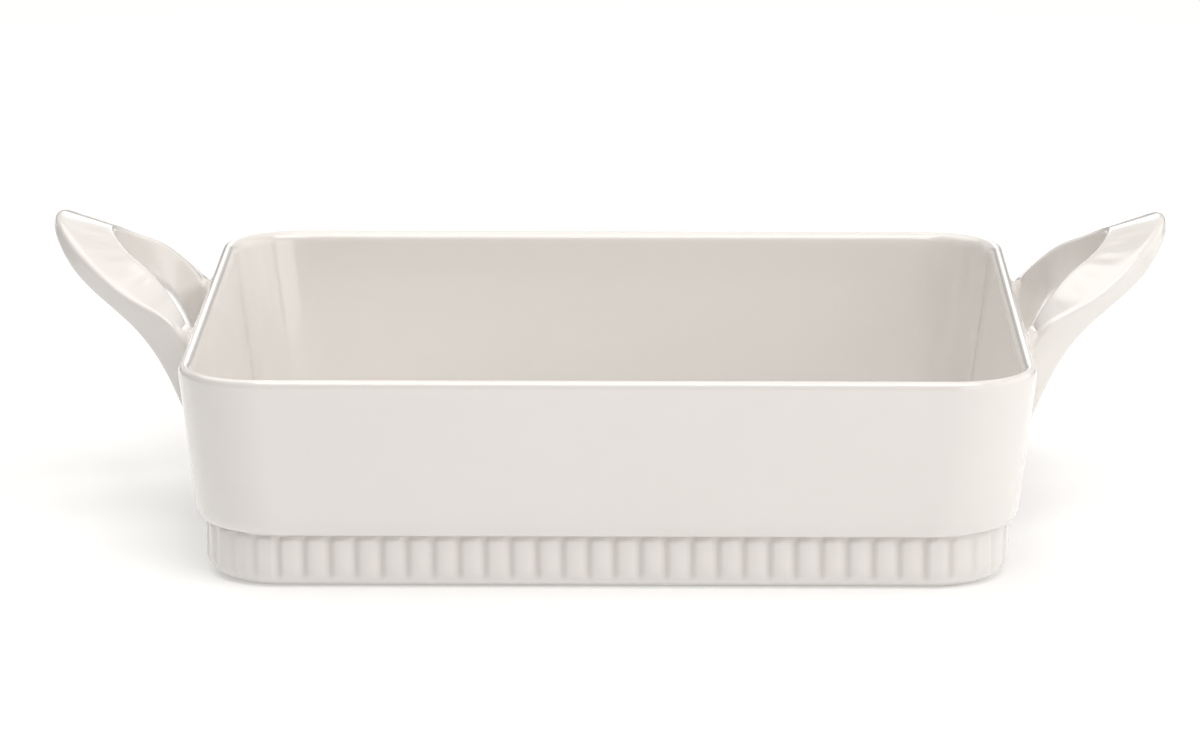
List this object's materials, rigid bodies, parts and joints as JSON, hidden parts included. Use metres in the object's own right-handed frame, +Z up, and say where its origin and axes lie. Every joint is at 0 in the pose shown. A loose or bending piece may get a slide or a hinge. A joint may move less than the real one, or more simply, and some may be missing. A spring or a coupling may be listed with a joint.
{
  "type": "lasagna dish",
  "caption": "Deep rectangular baking dish in ivory glazed stoneware, with leaning walls on a ribbed foot band and an arched strap handle rising from each short end.",
  "frame": {"origin": "middle of the dish on the table, where the foot band rests", "axes": "+X along the dish from handle to handle, +Y across it to the back, +Z up"},
  "size_m": [0.4322, 0.2794, 0.1164],
  "materials": {
    "glaze": "gloss",
    "slip": "gloss"
  },
  "bodies": {
    "root": {"basin": "glaze", "left_handle": "glaze", "right_handle": "glaze", "left_front_slip": "slip", "left_back_slip": "slip", "right_front_slip": "slip", "right_back_slip": "slip"}
  },
  "joints": []
}
